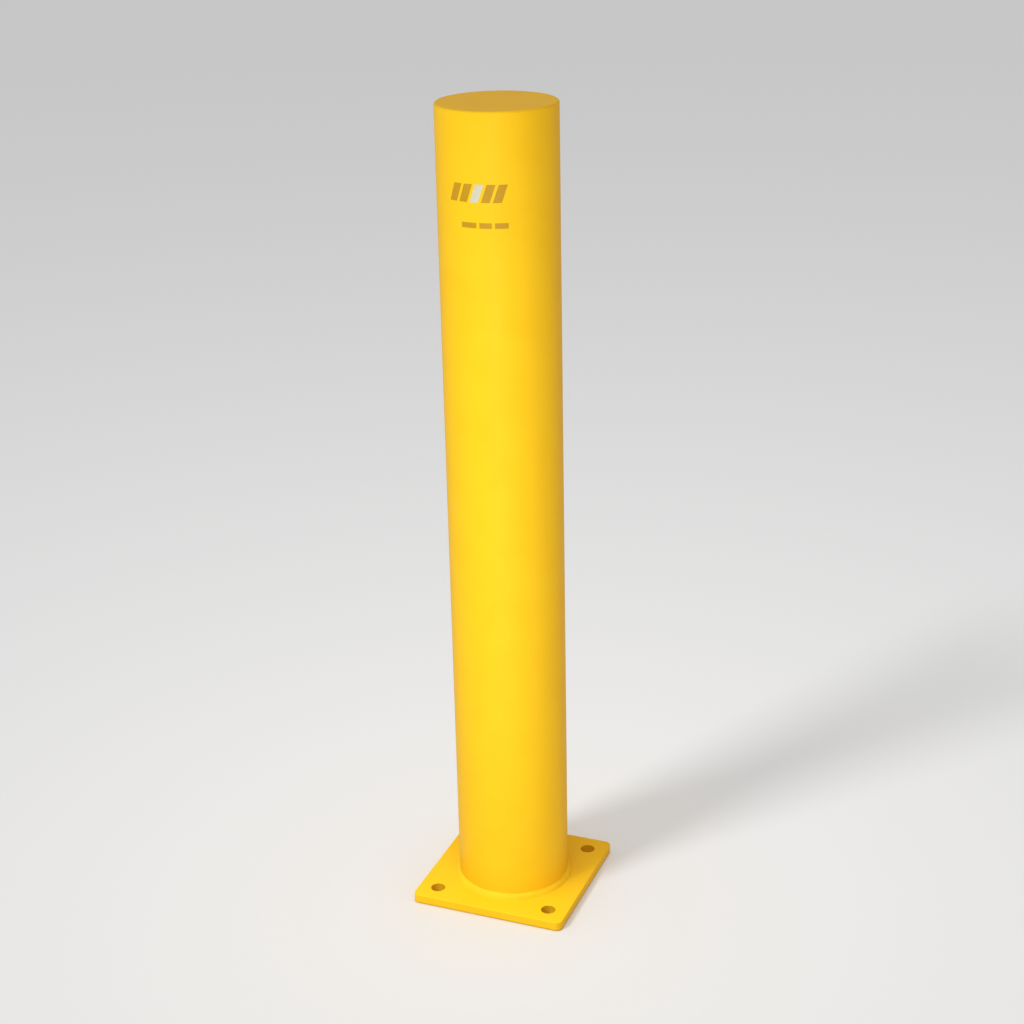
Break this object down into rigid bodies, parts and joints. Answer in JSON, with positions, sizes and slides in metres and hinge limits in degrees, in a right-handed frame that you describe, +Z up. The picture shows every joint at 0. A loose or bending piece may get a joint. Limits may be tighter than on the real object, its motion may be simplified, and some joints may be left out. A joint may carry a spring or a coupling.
{
  "type": "steel safety bollard",
  "caption": "Round steel post with a flat welded cap, fillet welded upright to a square anchor plate with holes for ground anchors.",
  "frame": {"origin": "centre of the anchor plate's underside, on the post's axis", "axes": "+Z up along the post, -Y towards the front face with the vinyl marks, X and Y along the plate's sides"},
  "size_m": [0.2, 0.2, 1],
  "materials": {
    "yellow_powder_coat": "semi-gloss powder coat with a fine orange peel",
    "ochre_vinyl": "satin cut vinyl film",
    "pale_vinyl": "satin cut vinyl film"
  },
  "bodies": {
    "root": {"base_plate": "yellow_powder_coat", "base_weld": "yellow_powder_coat", "post_tube": "yellow_powder_coat", "top_cap": "yellow_powder_coat", "cap_weld": "yellow_powder_coat", "vinyl_emblem_dark": "ochre_vinyl", "vinyl_emblem_pale": "pale_vinyl", "vinyl_line": "ochre_vinyl"}
  },
  "joints": []
}
